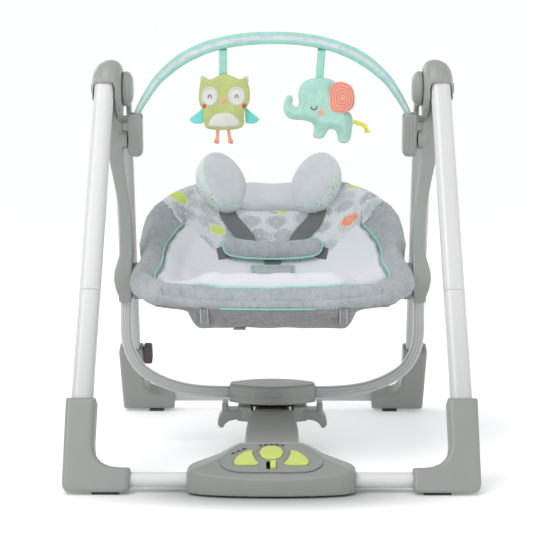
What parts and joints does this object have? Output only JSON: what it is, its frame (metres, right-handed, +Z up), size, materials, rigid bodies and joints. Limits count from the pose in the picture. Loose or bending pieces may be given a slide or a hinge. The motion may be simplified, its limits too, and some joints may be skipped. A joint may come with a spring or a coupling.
{
  "type": "portable baby swing",
  "caption": "Folding A-frame baby swing with a hanging padded seat, arched toy bar and a drive unit on the front cross tube.",
  "frame": {"origin": "on the floor, centred under the box around the whole swing", "axes": "+Z up, -Y towards the front with the control unit, +X to the right seen from the front"},
  "size_m": [0.588, 0.7423, 0.6667],
  "materials": {
    "grey_plastic": "moulded, fine satin grain",
    "dark_grey_plastic": "moulded, satin",
    "light_tube": "semi-gloss powder coat",
    "grey_tube": "semi-gloss powder coat",
    "rubber": "matt",
    "steel": "bright",
    "copper_coil": "wound enamelled wire",
    "circuit_board": "satin",
    "lime_button": "soft touch",
    "brown_clip": "matt",
    "seat_plush": "short-pile plush",
    "liner_fabric": "soft jersey with printed dots",
    "pillow_fabric": "soft jersey with small dots",
    "mint_fabric": "plain weave",
    "owl_plush": "short-pile plush",
    "elephant_plush": "short-pile plush",
    "webbing": "woven webbing"
  },
  "bodies": {
    "front_frame": {"front_leg_upper_left": "light_tube", "front_leg_upper_right": "light_tube", "front_leg_lower_left": "light_tube", "front_leg_lower_right": "light_tube", "front_foot_left": "grey_plastic", "front_foot_right": "grey_plastic", "front_foot_pad_left": "rubber", "front_foot_pad_right": "rubber", "hub_housing_left": "grey_plastic", "hub_housing_right": "grey_plastic", "front_cross_tube": "light_tube", "control_housing_top": "grey_plastic", "control_housing_base": "grey_plastic", "control_panel": "grey_plastic", "circuit_board": "circuit_board", "neck_cover": "grey_plastic", "neck_base": "dark_grey_plastic", "coil_housing": "grey_plastic", "drive_coil": "copper_coil", "coil_bracket": "steel"},
    "rear_frame": {"rear_hub_left": "grey_plastic", "rear_hub_right": "grey_plastic", "rear_leg_left": "grey_tube", "rear_leg_right": "grey_tube", "rear_foot_left": "grey_plastic", "rear_foot_right": "grey_plastic", "rear_foot_pad_left": "rubber", "rear_foot_pad_right": "rubber", "rear_cross_tube": "grey_tube", "leg_clip": "brown_clip"},
    "axle_pair": {"hub_axle_left": "steel", "hub_axle_right": "steel"},
    "swing": {"swing_arm_left": "grey_plastic", "swing_arm_right": "grey_plastic", "swing_tube_left": "grey_tube", "swing_tube_right": "grey_tube", "magnet_housing_top": "grey_plastic", "magnet_housing_base": "grey_plastic", "magnet": "steel"},
    "seat": {"seat_frame": "dark_grey_plastic", "seat_cover": "seat_plush", "seat_liner": "liner_fabric", "head_pillow": "pillow_fabric", "harness_webbing": "webbing", "waist_pad": "seat_plush", "harness_buckle": "dark_grey_plastic"},
    "toy_bar": {"toy_bar": "mint_fabric", "toy_clip_left": "grey_plastic", "toy_clip_right": "grey_plastic"},
    "owl": {"owl_toy": "owl_plush"},
    "elephant": {"elephant_toy": "elephant_plush"},
    "fold_button_left": {"fold_button_left": "dark_grey_plastic"},
    "fold_button_right": {"fold_button_right": "dark_grey_plastic"},
    "power_button": {"power_button": "lime_button"},
    "volume_button": {"volume_button": "lime_button"},
    "melody_button": {"melody_button": "lime_button"},
    "mode_switch": {"mode_switch": "lime_button"},
    "battery_door": {"battery_door": "dark_grey_plastic"}
  },
  "joints": [
    {"name": "frame_fold", "type": "hinge", "parent": "front_frame", "child": "rear_frame", "pos_m": [0, 0.0228, 0.58], "axis": [1, 0, 0], "range_deg": [-35, 0]},
    {"name": "axle_turn", "type": "hinge", "parent": "front_frame", "child": "axle_pair", "pos_m": [0, 0.0228, 0.58], "axis": [1, 0, 0], "range_deg": [-17.6, 0.1]},
    {"name": "seat_swing", "type": "hinge", "parent": "axle_pair", "child": "swing", "pos_m": [0, 0.0228, 0.58], "axis": [1, 0, 0], "range_deg": [-9, 9]},
    {"name": "seat_recline", "type": "hinge", "parent": "swing", "child": "seat", "pos_m": [0, 0.0228, 0.268], "axis": [1, 0, 0], "range_deg": [0, 14]},
    {"name": "toy_bar_tilt", "type": "hinge", "parent": "swing", "child": "toy_bar", "pos_m": [0, 0.0228, 0.498], "axis": [1, 0, 0], "range_deg": [-50, 40]},
    {"name": "owl_sway", "type": "hinge", "parent": "toy_bar", "child": "owl", "pos_m": [-0.079, 0.0012, 0.6517], "axis": [1, 0, 0], "range_deg": [-30, 30]},
    {"name": "elephant_sway", "type": "hinge", "parent": "toy_bar", "child": "elephant", "pos_m": [0.079, 0.0012, 0.6517], "axis": [1, 0, 0], "range_deg": [-30, 30]},
    {"name": "fold_button_left_press", "type": "slide", "parent": "front_frame", "child": "fold_button_left", "axis": [1, 0, 0], "range_m": [0, 0.005], "stiffness_N_per_m": 1200},
    {"name": "fold_button_right_press", "type": "slide", "parent": "front_frame", "child": "fold_button_right", "axis": [-1, 0, 0], "range_m": [0, 0.005], "stiffness_N_per_m": 1200},
    {"name": "power_press", "type": "slide", "parent": "front_frame", "child": "power_button", "axis": [0, 0.3939, -0.9191], "range_m": [0, 0.002], "stiffness_N_per_m": 800},
    {"name": "volume_press", "type": "slide", "parent": "front_frame", "child": "volume_button", "axis": [0, 0.3939, -0.9191], "range_m": [0, 0.0018], "stiffness_N_per_m": 800},
    {"name": "melody_press", "type": "slide", "parent": "front_frame", "child": "melody_button", "axis": [0, 0.3939, -0.9191], "range_m": [0, 0.0018], "stiffness_N_per_m": 800},
    {"name": "mode_slide", "type": "slide", "parent": "front_frame", "child": "mode_switch", "axis": [-1, 0, 0], "range_m": [0, 0.005]},
    {"name": "battery_door_open", "type": "hinge", "parent": "front_frame", "child": "battery_door", "pos_m": [0, -0.3167, 0.0032], "axis": [1, 0, 0], "range_deg": [-80, 0]}
  ],
  "couplings": [
    {"joint": "axle_turn", "follows": "frame_fold", "ratio": 0.5}
  ]
}
